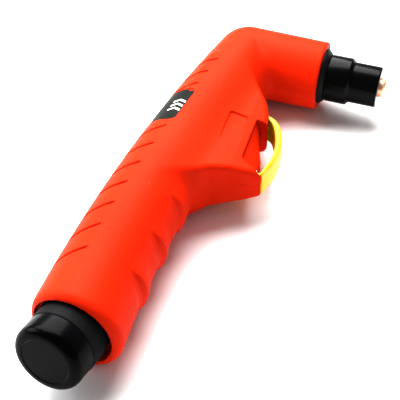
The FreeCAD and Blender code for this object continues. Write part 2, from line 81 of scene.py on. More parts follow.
# Head tube.
HEAD_HEADING = math.radians(93.0)
HEAD_R = 18.5
HEAD_BORE_R = 16.1
HEAD_LENGTH = 42.5
ELBOW = np.array([BEND_R * (1 - math.cos(ELBOW_ANGLE)), BEND_R * math.sin(ELBOW_ANGLE), 0.0])
HEAD_AXIS = np.array([math.sin(HEAD_HEADING), math.cos(HEAD_HEADING), 0.0])
ELBOW_ALONG = BEND_R * ELBOW_ANGLE

# Fillet in the elbow's inner corner: its reach grows between two depths.
CORNER_REACH = 0.3
CORNER_GROWTH = 6.0
CORNER_DEPTHS = (8.0, 24.0)

# Rear rim, which leans to the spine's side, and the gland's leaning sleeve.
RIM_TILT = math.radians(6.0)
RIM_CENTRE_Y = -1.75
RIM_BORE_R = 17.6
RIM_BORE_END_Y = 3.8
GLAND_SEAT_R = 15.95
GLAND_SEAT_END_Y = 14.0
SLEEVE_AXIS = np.array([-0.173832, -0.976781, 0.125223])

# Trigger housing.
REAR_FACE = [(8, 88), (20, 93.2), (25, 95.6), (29.5, 99.3), (37.5, 102.8), (46, 105.0), (52.4, 106.9),
             (52.7, 107.5), (50.9, 108.3)]
FRONT_FACE = [(47.2, 144.3), (46.8, 149), (43.3, 160), (37, 169.5), (26, 180), (8, 182)]
WIDTH_AT = ([6, 20, 30, 38, 46, 52.7], [15.0, 14.4, 13.1, 11.7, 9.6, 7.4])
SIDE_DRAFT = 0.97
NOTCH_EDGE = ([100, 107.2, 108.3, 110.8, 114.0, 143.8], [60, 54.0, 50.9, 43.4, 41.3, 41.3])
NOTCH_RAMP = ([100, 107.5, 108.4, 110.5, 115, 123, 133, 143.8],
              [60, 53.0, 50.9, 50.9, 50.3, 48.7, 45.6, 43.2])
NOTCH_SLOPE = 0.9
NOTCH_FRONT_Y = 143.8
NOTCH_HALF_WIDTH = 8.8
POCKET = ((39.2, 70.0), (145.6, 155.0), (-7.7, 7.7))
LUG_SLOT = ((44.9, 70.0), (107.7, 118.0), (-2.6, 2.6))
PANEL = ((28.0, 37.6), (121.0, 143.0))
PANEL_DEPTH = 0.7
PANEL_EDGE = 0.3
PANEL_FAINT_END = 0.35
PANEL_SIDES = (9.0, 10.0)
BOSS_MARK = (45.0, 0.2)
BOSS_MARK_REACH = (2.0, 1.2)
BOSS_MARK_HEIGHT = 0.4
BOSS_MARK_END_Y = 108

# Roundings and fillets of the shells.
HOUSING_FILLET = 7.0
HOUSING_EDGE = 3.0
RIM_EDGE = 5.0
HEAD_EDGE = 0.9
CUT_EDGE = 0.5
HOLLOW_EDGE = 0.4
NOTCH_FRONT_EDGE = 1.5

# Space inside the shells.
HOLLOW_START_Y = 12
HOUSING_HOLLOW_START_Y = 96
SCREW_BOSS_R = 3.3
POCKET_BLOCK = (36.8, 150.5, 6)

# Grip detail, by distance along the barrel.
GROOVE_ENDS = [28.2 + 14.6 * count for count in range(7)] + [153.8, 165.8, 178.0]
GROOVE_BOW = 8.0
GROOVE_LEAN = 0.95
GROOVE_HALF_ANGLE = 80.0
GROOVE_FADE_ANGLE = 3
GROOVE_DEPTH = 1.25
GROOVE_HALF_WIDTH = 0.62
SCALLOP_CRESTS = [28.0, 53.0, 78.0]
SCALLOP_HEIGHT = 1.6
SCALLOP_HALF_ANGLE = 43.0
SCALLOP_BOW = 1.2
SCALLOP_TAPER = 0.8
SCALLOP_LEDGE = 2.3
SCALLOP_LEDGE_END = 0.4
SCALLOP_FADE = (0.5, 11.0)
BOWL_DEPTH = 0.28
BOWL_BEHIND = 3.0
BOWL_REACH = 2.6
LABEL_ALONG = (120.6, 147.6)
LABEL_HALF_ANGLE = 84.0
LABEL_DEPTH = 0.45
LABEL_EDGE = (-0.15, 0.25)

SCREWS = [(12.4, 26.0, -11.0), (-8.6, 84.0, -11.5), (34.0, 113.0, -8.5), (31.0, 163.5, -8.0),
          (5.6, 189.0, -11.0)]
SCREW_WELL_R = 3.1

# Where the finest detail belongs: near the outer surface, by depth and by height over the spine.
OUTER_DEPTHS = (1.2, 1.9)
HOUSING_HEIGHTS = (24, 27)

# Meshing of the shells.
SHELL_LOW = (-23, -6.0, -23)
SHELL_HIGH = (66.5, 229.5, 23)
SHELL_PITCH = 0.62
SLAB_LAYERS = 12
PROBE = 0.05
LEAST_SLOPE = 0.25
LONGEST_SHIFT = 0.4
REFINE_LEVELS = 2
REFINE_BAND = 1.7
REFINE_NARROWING = 0.5
LABEL_BAND_SHARE = 0.7
PANEL_BAND_SHARE = 0.8
PANEL_LEAST_Z = 10.5
SEAM_BAND = 0.0004
SEAM_DEPTH = 0.00018
CUT_TOLERANCE = 1e-7
LEAST_NORMAL = 0.1

# Turned pieces.
LATHE_SEGMENTS = 160
LATHE_SHARP_ANGLE = 30
CORNER_STEPS = 6
SHARED_EDGE_SHARE = 0.48
WHOLE_EDGE_SHARE = 0.97
ON_AXIS = 1e-4

# Trigger lever in the bend plane: arcs through three points, each with its number of steps.
LEVER_ARCS = [
    ((45.6, 153.7), (49.8, 151.4), (53.0, 147.3), 6),
    ((53.0, 147.3), (57.4, 126.5), (53.2, 108.9), 16),
    ((53.2, 108.9), (52.4, 108.3), (51.6, 108.9), 5),
    ((51.6, 108.9), (54.6, 126.8), (50.1, 146.0), 16),
    ((50.1, 146.0), (47.9, 148.9), (44.7, 150.8), 6)]
LEVER_TOE = (44.7, 150.8)
LEVER_HALF_WIDTH = 6.75
LEVER_EDGE = 1.6
LEVER_SKIN = 0.35
LEVER_CROWN = 0.7
LEVER_CROWN_REACH = 7.0
LEVER_CROWN_START = (106, 114)
LEVER_PIN = (48.3, 111.3)
LEVER_PIN_BORE_R = 1.32
LEVER_PIN_EDGE = 0.2
LEVER_LUG_R = 2.6
LEVER_LUG_HALF_WIDTH = 2.1
LEVER_LUG_FILLET = 0.8
LEVER_NECK = ((48.3, 52.8), (110.4, 113.9), (-2.1, 2.1))
LEVER_PAD = ((42.95, 47.4), (149.8, 152.8), (-2.9, 2.9))
LEVER_PAD_FILLET = 0.3
LEVER_LOW = (41.5, 106.5, -8.2)
LEVER_HIGH = (59.5, 155.5, 8.2)
LEVER_PITCH = 0.33

# Return spring: its axis runs along +X from its foot.
SPRING_FOOT = (39.3, 147.6)
SPRING_LENGTH = 7.7
SPRING_TURNS = 6
SPRING_COIL_R = 1.4
SPRING_WIRE_R = 0.25
SPRING_TURN_STEPS = 24
SPRING_SIDES = 10
SPRING_SHARP_ANGLE = 60

# Label foil and its printed chevrons.
FOIL_CORNER = 2.8
FOIL_GAP = 0.18
FOIL_LIFTS = (-0.12, -0.42)
FOIL_COLUMNS = 61
FOIL_ROWS = 27
FOIL_SHARP_ANGLE = 50
CHEVRONS = 3
CHEVRON_START = 129.6
CHEVRON_PITCH = 3.6
CHEVRON_WIDTH = 1.5
CHEVRON_BEND = 1.5
CHEVRON_PARTS = 12
CHEVRON_FIRST_ANGLE = 118
CHEVRON_SWEEP = 20
INK_LIFT = -0.08
INK_THICKNESS = 0.05

# Turned profiles: distance along the axis, radius, corner radius.
SLEEVE_PROFILE = [(-1.5, 10.0, 0.2), (9.7, 10.0, 0.3), (9.7, 15.75, 0.7), (0.0, 15.75, 0.2),
                  (-1.5, 15.3, 0.2)]
NECK_PROFILE = [(1.6, 10.0, 0.1), (1.6, 15.3, 0.2), (7.0, 15.4, 0.1), (7.0, 17.1, 0.2), (10.0, 17.1, 0.2),
                (10.0, 15.4, 0.1), (16.0, 15.4, 0.4), (16.0, 10.0, 0.3)]
CAP_PROFILE = [(20.75, 0, 0), (20.75, 10.6, 0.0), (21.0, 11.0, 0.0), (21.0, 15.5, 3.6), (10.0, 15.5, 0.0),
               (10.0, 9.7, 0.3), (2.0, 9.7, 0.6), (2.0, 8.1, 0.4), (10.0, 8.1, 0.4), (10.0, 0, 0)]
COLLAR_PROFILE = [(-7, 0, 0), (-7, 15.0, 0.5), (29.7, 15.8, 0.1), (29.7, 13.1, 0.1), (33.3, 13.1, 0.1),
                  (33.3, 15.8, 0.1), (42.2, 15.8, 0.2), (42.5, 14.9, 0.1), (43.6, 14.9, 0.3),
                  (45.6, 12.9, 0.2), (45.6, 7.6, 0.1), (52.8, 7.6, 0.3), (52.8, 4.7, 0.1),
                  (38.0, 4.7, 0.1), (38.0, 0, 0)]
CUP_PROFILE = [(45.9, 11.7, 0.1), (45.9, 12.8, 0.5), (57.5, 12.8, 0.7), (59.2, 11.1, 0.7),
               (74.0, 11.1, 0.9), (74.0, 5.3, 0.5), (70.6, 5.3, 0.2), (70.6, 8.0, 0.3), (53.2, 8.0, 0.2),
               (53.2, 11.05, 0.1), (48.2, 11.05, 0.1), (48.2, 11.7, 0.1)]
TIP_PROFILE = [(61.2, 5.6, 0.1), (61.2, 7.7, 0.3), (66.0, 7.7, 0.4), (67.0, 6.3, 0.3), (70.0, 5.4, 0.3),
               (70.6, 5.0, 0.3), (76.3, 5.0, 0.6), (77.3, 3.8, 0.5), (77.3, 0.9, 0.25), (76.6, 0.6, 0.2),
               (69.0, 0.6, 0.2), (67.5, 5.6, 0.4)]

# Finishes: where edges count as lighter (wear, and on the lever a painted highlight) and where hollows get
# painted shade, by pointiness, and how strongly.
WEAR_AND_HIGHLIGHT_EDGES = (0.53, 0.62)
WEAR_AND_HIGHLIGHT_SHARE = 0.45
PAINTED_SHADE_HOLLOWS = (0.488, 0.44)
PAINTED_SHADE_SHARE = 0.9
GRAIN_STRENGTH = 0.35
SMOOTHEST = 0.7
ROUGHEST = 1.4
TOOL_MARK_SCALE = 900
TOOL_MARK_STRENGTH = 0.25
TOOL_MARK_DEPTH = 0.00003

# Camera behind and above the rear end; lens and sensor in millimetres, the rest in metres.
CAMERA_AZIMUTH = math.radians(15.67)
CAMERA_ELEVATION = math.radians(42.63)
CAMERA_ROLL = math.radians(0.74)
CAMERA_DISTANCE = 0.43441
CAMERA_TARGET = (0.02761, 0.08948, 0.0)
CAMERA_NEAR = 0.01
CAMERA_LENS = 83.46
CAMERA_SENSOR = 36.0
VIEW_GAMMA = 0.76

# Light and floor, in metres and watts: each soft box has a name, place, size and power.
TENT_STRENGTH = 0.45
LIGHT_TARGET = (0.02, 0.1, 0.0)
SOFT_BOXES = [("top_box", (-0.35, 0.60, 0.85), (1.3, 1.0), 56.0),
              ("side_box", (-0.8, -0.05, 0.35), (0.5, 0.4), 7.0)]
FLOOR_HALF_SIZE = 3.0
PAPER_TONES = ((0.93, 0.93, 0.93), (0.91, 0.91, 0.91))
PAPER_SCALE = 30


# ---------------------------------------------------------------- fields

def smooth_min(a, b, reach):
    """Union of two fields with a fillet."""
    overlap = np.maximum(reach - np.abs(a - b), 0.0) / reach
    return np.minimum(a, b) - overlap * overlap * reach * 0.25


def smooth_max(a, b, reach):
    """Intersection of two fields with a rounded edge."""
    return -smooth_min(-a, -b, reach)


def step(low, high, value):
    """Smooth step from 0 at low to 1 at high."""
    share = np.clip((value - low) / (high - low), 0.0, 1.0)
    return share * share * (3 - 2 * share)


def polygon_distance(x, y, corners):
    """Signed distance in the bend plane to a closed outline, negative inside."""
    nearest = np.full(np.broadcast(x, y).shape, 1e9)
    inside = np.zeros(nearest.shape, dtype=bool)
    for (x0, y0), (x1, y1) in zip(corners, corners[1:] + corners[:1]):
        dx, dy = x1 - x0, y1 - y0
        share = np.clip(((x - x0) * dx + (y - y0) * dy) / (dx * dx + dy * dy), 0, 1)
        nearest = np.minimum(nearest, (x - x0 - share * dx) ** 2 + (y - y0 - share * dy) ** 2)
        crosses = ((y0 > y) != (y1 > y)) & (x < (y - y0) * dx / (dy if dy else 1e-9) + x0)
        inside ^= crosses
    return np.where(inside, -1.0, 1.0) * np.sqrt(nearest)


def box_distance(x, y, z, limits):
    """Signed distance to a box, negative inside."""
    gaps = [np.maximum(low - value, value - high) for value, (low, high) in zip((x, y, z), limits)]
    return np.maximum(np.maximum(gaps[0], gaps[1]), gaps[2])


def along_barrel(x, y):
    """Distance along the bent axis and sideways offset towards +X."""
    reach = np.hypot(BEND_R - x, y)
    return BEND_R * np.arctan2(y, BEND_R - x), BEND_R - reach


def swell(along):
    """Share of the rim's swelling left at a distance along the barrel."""
    return np.clip(1 - along / SWELL_LENGTH, 0.0, 1.0) ** 2


def barrel_radius(along):
    """Barrel radius before the grip detail."""
    narrowing = (BARREL_R - BARREL_R_ELBOW) * np.clip(along / ELBOW_ALONG, 0, 1.2) ** 2
    return BARREL_R - narrowing + SWELL_R * swell(along)


def scallops(along, angle):
    """Finger scallops: crescent ledges that face the rim and fade forward."""
    share = np.clip(1 - (angle / SCALLOP_HALF_ANGLE) ** 2, 0, 1)
    height = 0.0
    for crest in SCALLOP_CRESTS:
        ahead = along - crest + SCALLOP_BOW * (1 - share)
        ledge = SCALLOP_LEDGE * share + SCALLOP_LEDGE_END
        rise = np.clip((ahead + ledge) / ledge, 0, 1)
        ridge = rise * (1 - step(*SCALLOP_FADE, ahead))
        bowl = -BOWL_DEPTH * np.exp(-((ahead + ledge + BOWL_BEHIND) / BOWL_REACH) ** 2)
        height = height + ridge + bowl
    return SCALLOP_HEIGHT * share ** SCALLOP_TAPER * height


def barrel_field(x, y, z, inset=0.0, detail=True):
    """Barrel, rounded over at the elbow, with its scallops."""
    along, side = along_barrel(x, y)
    side = side - SWELL_SHIFT * swell(along)
    radius = barrel_radius(along) - inset
    if detail:
        radius = radius + scallops(along, np.degrees(np.arctan2(z, side)))
    tube = np.maximum(np.hypot(side, z) - radius, along - ELBOW_ALONG)
    ball_r = BARREL_R_ELBOW - inset
    ball = np.sqrt((x - ELBOW[0]) ** 2 + (y - ELBOW[1]) ** 2 + z * z) - ball_r
    return np.minimum(tube, ball)


def head_coordinates(x, y):
    """Distance along the head's axis and across it in the bend plane."""
    dx, dy = x - ELBOW[0], y - ELBOW[1]
    return dx * HEAD_AXIS[0] + dy * HEAD_AXIS[1], -dx * HEAD_AXIS[1] + dy * HEAD_AXIS[0]


def head_field(x, y, z):
    """Head tube from the elbow's centre to its face."""
    along, across = head_coordinates(x, y)
    radius = BARREL_R_ELBOW + (HEAD_R - BARREL_R_ELBOW) * np.clip(along / HEAD_LENGTH, 0, 1)
    tube = np.maximum(np.hypot(across, z) - radius, -along)
    return smooth_max(tube, along - HEAD_LENGTH, HEAD_EDGE)


def corner_fillet(x, y):
    """Fillet reach that grows towards the inner corner between the barrel and the head."""
    inner = HEAD_AXIS[:2] - np.array([math.sin(ELBOW_ANGLE), math.cos(ELBOW_ANGLE)])
    inner = inner / np.linalg.norm(inner)
    depth = (x - ELBOW[0]) * inner[0] + (y - ELBOW[1]) * inner[1]
    return CORNER_REACH + CORNER_GROWTH * step(*CORNER_DEPTHS, depth)


def housing_field(x, y, z, inset=0.0):
    """Trigger housing with its notch."""
    outline = polygon_distance(x, y, REAR_FACE + FRONT_FACE)
    width = np.interp(x, *WIDTH_AT)
    sides = (np.abs(z) - width) * SIDE_DRAFT
    solid = smooth_max(outline, sides, HOUSING_EDGE) + inset
    crown = 1 - np.clip(np.abs(z) / NOTCH_HALF_WIDTH, 0, 1) ** 2
    edge = np.interp(y, *NOTCH_EDGE)
    ramp = np.interp(y, *NOTCH_RAMP)
    wall_x = edge + (ramp - edge) * crown - inset
    notch = smooth_max((wall_x - x) * NOTCH_SLOPE, y - NOTCH_FRONT_Y - inset, NOTCH_FRONT_EDGE)
    return smooth_max(solid, -notch, HOLLOW_EDGE)


def shell_hollow(x, y, z):
    """Space inside the shells, with the rim's bore, the gland's seat and the screw bosses."""
    head_along, head_across = head_coordinates(x, y)
    head = np.maximum(np.hypot(head_across, z) - HEAD_BORE_R, -head_along)
    room = np.minimum(barrel_field(x, y, z, WALL, False), head)
    room = np.minimum(room, np.maximum(housing_field(x, y, z, WALL), HOUSING_HOLLOW_START_Y - y))
    room = np.maximum(room, HOLLOW_START_Y - y)
    for screw_x, screw_y, _ in SCREWS:
        room = np.maximum(room, SCREW_BOSS_R - np.hypot(x - screw_x, y - screw_y))
    block_x, block_y, block_half = POCKET_BLOCK
    room = np.maximum(room, np.minimum(x - block_x, np.abs(y - block_y) - block_half))
    rim = np.maximum(np.hypot(x, z) - RIM_BORE_R, y - RIM_BORE_END_Y)
    seat = np.maximum(np.hypot(x, z) - GLAND_SEAT_R, y - GLAND_SEAT_END_Y)
    return np.minimum(room, np.minimum(rim, seat))


def shell_form(x, y, z):
    """Both shells together, without their finest detail."""
    body = smooth_min(barrel_field(x, y, z), head_field(x, y, z), corner_fillet(x, y))
    body = smooth_min(body, housing_field(x, y, z), HOUSING_FILLET)
    behind_rim = -(x * math.sin(RIM_TILT) + (y - RIM_CENTRE_Y) * math.cos(RIM_TILT))
    body = smooth_max(body, behind_rim, RIM_EDGE)
    for pocket in (POCKET, LUG_SLOT):
        body = smooth_max(body, -box_distance(x, y, z, pocket), CUT_EDGE)
    for screw_x, screw_y, seat in SCREWS:
        well = np.maximum(np.hypot(x - screw_x, y - screw_y) - SCREW_WELL_R, z - seat)
        body = smooth_max(body, -well, CUT_EDGE)
    return smooth_max(body, -shell_hollow(x, y, z), HOLLOW_EDGE)


def groove_offset(along, angle):
    """Signed distance from the nearest spine groove, and its strength at that place."""
    from_spine = 180 - np.abs(angle)
    lean = GROOVE_BOW * (1 - (from_spine / GROOVE_HALF_ANGLE) ** 2)
    nearest = np.full(np.shape(along), 1e9)
    for end in GROOVE_ENDS:
        distance = np.abs(along - end + lean)
        nearest = np.minimum(nearest, distance)
    strength = 1 - step(GROOVE_HALF_ANGLE - GROOVE_FADE_ANGLE, GROOVE_HALF_ANGLE, from_spine)
    return nearest * GROOVE_LEAN, strength


def label_offset(along, angle):
    """Distance outside the label's rounded outline, in millimetres over the barrel."""
    middle = sum(LABEL_ALONG) / 2
    half_length = (LABEL_ALONG[1] - LABEL_ALONG[0]) / 2
    arc = np.radians(180 - np.abs(angle)) * BARREL_R
    half_arc = math.radians(LABEL_HALF_ANGLE) * BARREL_R
    corner = 3.0
    out_along = np.maximum(np.abs(along - middle) - half_length + corner, 0)
    out_arc = np.maximum(arc - half_arc + corner, 0)
    return np.hypot(out_along, out_arc) - corner


def panel_offset(x, y):
    """Distance outside the recessed side panel's outline."""
    (x0, x1), (y0, y1) = PANEL
    corner = 2.0
    middle_x, middle_y = (x0 + x1) / 2, (y0 + y1) / 2
    out_x = np.maximum(np.abs(x - middle_x) - (x1 - x0) / 2 + corner, 0)
    out_y = np.maximum(np.abs(y - middle_y) - (y1 - y0) / 2 + corner, 0)
    return np.hypot(out_x, out_y) - corner


def fine_detail(x, y, z):
    """How far the finest detail sinks the outer surface."""
    along, side = along_barrel(x, y)
    angle = np.degrees(np.arctan2(z, side))
    distance, strength = groove_offset(along, angle)
    sink = GROOVE_DEPTH * strength * np.exp(-(distance / GROOVE_HALF_WIDTH) ** 2)
    sink = sink + LABEL_DEPTH * (1 - step(*LABEL_EDGE, label_offset(along, angle)))
    fade = PANEL_FAINT_END + (1 - PANEL_FAINT_END) * step(*PANEL[1], y)
    on_side = step(*PANEL_SIDES, np.abs(z))
    from_boss_x = (x - BOSS_MARK[0]) / BOSS_MARK_REACH[0]
    from_boss_z = (z - BOSS_MARK[1]) / BOSS_MARK_REACH[1]
    boss = np.exp(-(from_boss_x ** 2 + from_boss_z ** 2) ** 2)
    sink = sink - BOSS_MARK_HEIGHT * boss * (y < BOSS_MARK_END_Y)
    inside_panel = 1 - step(-PANEL_EDGE, PANEL_EDGE, panel_offset(x, y))
    sink = sink + PANEL_DEPTH * fade * on_side * inside_panel
    return sink


def outer_share(x, y, z):
    """1 near the outer surface of the shells and 0 at the inner one."""
    along, side = along_barrel(x, y)
    depth = barrel_radius(along) - np.hypot(side, z)
    housing = step(*HOUSING_HEIGHTS, x)
    return np.maximum(1 - step(*OUTER_DEPTHS, depth), housing)


def shell_field(x, y, z):
    """Both shells with every detail."""
    return shell_form(x, y, z) + fine_detail(x, y, z) * outer_share(x, y, z)


# ---------------------------------------------------------------- meshing

def sample_field(field, axes):
    """Field values over a grid, taken a few layers at a time."""
    values = np.empty([len(axis) for axis in axes])
    for start in range(0, len(axes[0]), SLAB_LAYERS):
        layers = slice(start, start + SLAB_LAYERS)
        values[layers] = field(*np.meshgrid(axes[0][layers], axes[1], axes[2], indexing="ij"))
    return values


def edge_ends(axis):
    """Slices that pick both ends of every grid edge along an axis."""
    first = [slice(None)] * 3
    second = [slice(None)] * 3
    first[axis] = slice(0, -1)
    second[axis] = slice(1, None)
    return tuple(first), tuple(second)


def other_axes(axis):
    """The two axes besides one."""
    return [other for other in range(3) if other != axis]


def cell_centres(values):
    """Cells that the surface crosses, with the mean place of the crossings in each."""
    inside = values < 0
    cells = [count - 1 for count in values.shape]
    total = np.zeros(cells)
    sums = [np.zeros(cells) for _ in range(3)]
    for axis in range(3):
        first, second = edge_ends(axis)
        v0, v1 = values[first], values[second]
        crossed = inside[first] != inside[second]
        share = np.where(crossed, v0 / np.where(crossed, v0 - v1, 1.0), 0.0)
        one, two = other_axes(axis)
        for a, b in ((0, 0), (0, 1), (1, 0), (1, 1)):
            cut = [slice(None)] * 3
            cut[one] = slice(a, cells[one] + a)
            cut[two] = slice(b, cells[two] + b)
            hit = crossed[tuple(cut)]
            total += hit
            sums[axis] += np.where(hit, share[tuple(cut)], 0.0)
            sums[one] += np.where(hit, float(a), 0.0)
            sums[two] += np.where(hit, float(b), 0.0)
    used = np.nonzero(total)
    return used, np.stack([used[i] + sums[i][used] / total[used] for i in range(3)], 1)


def net_quads(inside, number):
    """One quad round every grid edge that the surface crosses, wound outwards."""
    quads = []
    for axis in range(3):
        first, second = edge_ends(axis)
        crossed = inside[first] != inside[second]
        one, two = other_axes(axis)
        inner = [slice(None)] * 3
        inner[one] = slice(1, -1)
        inner[two] = slice(1, -1)
        mask = np.zeros_like(crossed)
        mask[tuple(inner)] = crossed[tuple(inner)]
        at = np.nonzero(mask)
        ring = []
        for a, b in ((-1, -1), (0, -1), (0, 0), (-1, 0)):
            index = list(at)
            index[one] = at[one] + a
            index[two] = at[two] + b
            ring.append(number[tuple(index)])
        face = np.stack(ring, 1)
        flip = inside[first][at] == (axis == 1)
        face[flip] = face[flip][:, ::-1]
        quads.append(face)
    return np.concatenate(quads)


def surface_net(field, low, high, pitch):
    """Quad mesh of a field's zero surface: one vertex in each cell that it crosses."""
    axes = [np.arange(a, b + pitch, pitch) for a, b in zip(low, high)]
    values = sample_field(field, axes)
    used, centres = cell_centres(values)
    number = np.full([count - 1 for count in values.shape], -1, dtype=np.int64)
    number[used] = np.arange(len(centres))
    origin = np.array([axis[0] for axis in axes])
    return origin + pitch * centres, net_quads(values < 0, number)


def settle(points, field, passes=3):
    """Move points onto a field's zero surface."""
    offsets = np.array([(1, 1, 1), (1, -1, -1), (-1, 1, -1), (-1, -1, 1)]) * PROBE
    for _ in range(passes):
        slope = np.zeros_like(points)
        for offset in offsets:
            moved = points + offset
            slope += field(*moved.T)[:, None] * offset[None, :]
        slope /= 4 * PROBE ** 2
        size = np.maximum((slope ** 2).sum(1), LEAST_SLOPE)
        shift = slope * (field(*points.T) / size)[:, None]
        reach = np.maximum(np.linalg.norm(shift, axis=1) / LONGEST_SHIFT, 1.0)
        points = points - shift / reach[:, None]
    return points


def add_object(name, data):
    """Object in the scene from a mesh, a lamp or a camera."""
    obj = bpy.data.objects.new(name, data)
    bpy.context.scene.collection.objects.link(obj)
    return obj


def new_object(name, points, faces):
    """Mesh object from points in millimetres."""
    mesh = bpy.data.meshes.new(name)
    mesh.from_pydata((np.asarray(points) * MM).tolist(), [], [list(map(int, face)) for face in faces])
    mesh.validate()
    return add_object(name, mesh)


def object_from(form, name):
    """Mesh object from a bmesh, which is freed."""
    mesh = bpy.data.meshes.new(name)
    form.to_mesh(mesh)
    form.free()
    return add_object(name, mesh)


def face_outwards(obj):
    """Turn the faces of a closed mesh outwards."""
    form = bmesh.new()
    form.from_mesh(obj.data)
    bmesh.ops.recalc_face_normals(form, faces=form.faces)
    form.to_mesh(obj.data)
    form.free()


def smooth(obj, angle=38):
    """Smooth shading that keeps edges sharper than an angle."""
    obj.data.shade_smooth()
    obj.data.set_sharp_from_angle(angle=math.radians(angle))
    return obj


def read_points(mesh_verts):
    """Vertex places of a bmesh, in millimetres."""
    return np.array([vertex.co[:] for vertex in mesh_verts]) / MM


def refine_detail(form):
    """Split the faces that lie near the grooves, the label's edge and the panel's edge."""
    for level in range(REFINE_LEVELS):
        x, y, z = read_points(form.verts).T
        along, side = along_barrel(x, y)
        angle = np.degrees(np.arctan2(z, side))
        from_groove = groove_offset(along, angle)[0]
        on_spine = 180 - np.abs(angle) < GROOVE_HALF_ANGLE + GROOVE_FADE_ANGLE
        outer = outer_share(x, y, z) > 0.5
        band = REFINE_BAND - REFINE_NARROWING * level
        near = (from_groove < band) & on_spine & outer
        near |= (np.abs(label_offset(along, angle)) < band * LABEL_BAND_SHARE) & outer
        near |= (np.abs(panel_offset(x, y)) < band * PANEL_BAND_SHARE) & (np.abs(z) > PANEL_LEAST_Z)
        form.verts.ensure_lookup_table()
        for vertex, chosen in zip(form.verts, near):
            vertex.tag = bool(chosen)
        edges = [edge for edge in form.edges if edge.verts[0].tag and edge.verts[1].tag]
        bmesh.ops.subdivide_edges(form, edges=edges, cuts=1, use_grid_fill=True)


def half_shell(source, sign, name):
    """One handle shell: the part of the full form on one side of the bend plane."""
    form = source.copy()
    normal = Vector((0, 0, -sign))
    for height in (0.0, SEAM_BAND):
        geometry = form.verts[:] + form.edges[:] + form.faces[:]
        bmesh.ops.bisect_plane(form, geom=geometry, plane_co=(0, 0, sign * height), plane_no=normal,
                               clear_outer=(height == 0.0), dist=CUT_TOLERANCE)
    border = [edge for edge in form.edges if edge.is_boundary]
    seam = {vertex for edge in border for vertex in edge.verts}
    bmesh.ops.triangle_fill(form, use_beauty=True, edges=border)
    for vertex in seam:
        x, y, z = vertex.co / MM
        if float(outer_share(np.array(x), np.array(y), np.array(z))) > 0.5:
            inward = Vector((vertex.normal.x, vertex.normal.y, 0))
            if inward.length > LEAST_NORMAL:
                vertex.co -= inward.normalized() * SEAM_DEPTH
    return smooth(object_from(form, name))


def make_shells():
    """Both handle shells, cut from one form so that they meet along the parting line."""
    pitch = SHELL_PITCH
    points, quads = surface_net(shell_form, SHELL_LOW, SHELL_HIGH, pitch)
    whole = new_object("shell_form", settle(points, shell_form, 2), quads)
    form = bmesh.new()
    form.from_mesh(whole.data)
    bpy.data.objects.remove(whole)
    refine_detail(form)
    form.verts.ensure_lookup_table()
    for vertex, place in zip(form.verts, settle(read_points(form.verts), shell_field)):
        vertex.co = Vector(place) * MM
    form.normal_update()
    right = half_shell(form, 1, "grip_shell_right")
    left = half_shell(form, -1, "grip_shell_left")
    form.free()
    return right, left


def spin(path, turn, start, form):
    """Rings of vertices round an axis, one ring for each point of a path."""
    rings = []
    for distance, radius in path:
        if radius < ON_AXIS:
            rings.append([form.verts.new(turn @ Vector((0, 0, distance)) * MM + start * MM)])
            continue
        ring = []
        for count in range(LATHE_SEGMENTS):
            angle = 2 * math.pi * count / LATHE_SEGMENTS
            place = Vector((radius * math.cos(angle), radius * math.sin(angle), distance))
            ring.append(form.verts.new((turn @ place + start) * MM))
        rings.append(ring)
    return rings


def lathe(name, profile, start, axis):
    """Turned piece: the profile is (distance along the axis, radius, corner radius) points."""
    path = rounded(profile)
    turn = Vector((0, 0, 1)).rotation_difference(Vector(axis)).to_matrix()
    form = bmesh.new()
    rings = spin(path, turn, Vector(start), form)
    pairs = list(zip(rings, rings[1:]))
    if path[0][1] > ON_AXIS:
        pairs.append((rings[-1], rings[0]))
    for ring, following in pairs:
        for count in range(LATHE_SEGMENTS):
            ahead = (count + 1) % LATHE_SEGMENTS
            corners = [ring[count % len(ring)], ring[ahead % len(ring)],
                       following[ahead % len(following)], following[count % len(following)]]
            unique = list(dict.fromkeys(corners))
            if len(unique) > 2:
                form.faces.new(unique)
    bmesh.ops.recalc_face_normals(form, faces=form.faces)
    return smooth(object_from(form, name), LATHE_SHARP_ANGLE)


def edge_share(neighbour):
    """Share of an edge that a corner's rounding may take, by whether the other corner is round."""
    return SHARED_EDGE_SHARE if neighbour[2] > 0 else WHOLE_EDGE_SHARE


def rounded(profile):
    """Profile with its corners rounded by tangent arcs."""
    path = []
    count = len(profile)
    closed = profile[0][1] > ON_AXIS
    for index, (distance, radius, corner) in enumerate(profile):
        here = Vector((distance, radius))
        if corner <= 0 or (not closed and index in (0, count - 1)):
            path.append(tuple(here))
            continue
        following = profile[(index + 1) % count]
        before = Vector(profile[index - 1][:2]) - here
        after = Vector(following[:2]) - here
        half = before.angle(after) / 2
        room_before = before.length * edge_share(profile[index - 1])
        room_after = after.length * edge_share(following)
        reach = min(corner / math.tan(half), room_before, room_after)
        size = reach * math.tan(half)
        centre = here + (before.normalized() + after.normalized()).normalized() * (size / math.sin(half))
        start = here + before.normalized() * reach
        end = here + after.normalized() * reach
        first = start - centre
        turn = first.angle_signed(end - centre)
        for part in range(CORNER_STEPS + 1):
            arm = first.copy()
            arm.rotate(Matrix.Rotation(-turn * part / CORNER_STEPS, 2))
            path.append(tuple(centre + arm))
    return path


# ---------------------------------------------------------------- pieces

def replace(piece, node, body):
    """Let a piece stand for a CAD node."""
    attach(piece, body)
    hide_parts(node)
    return piece


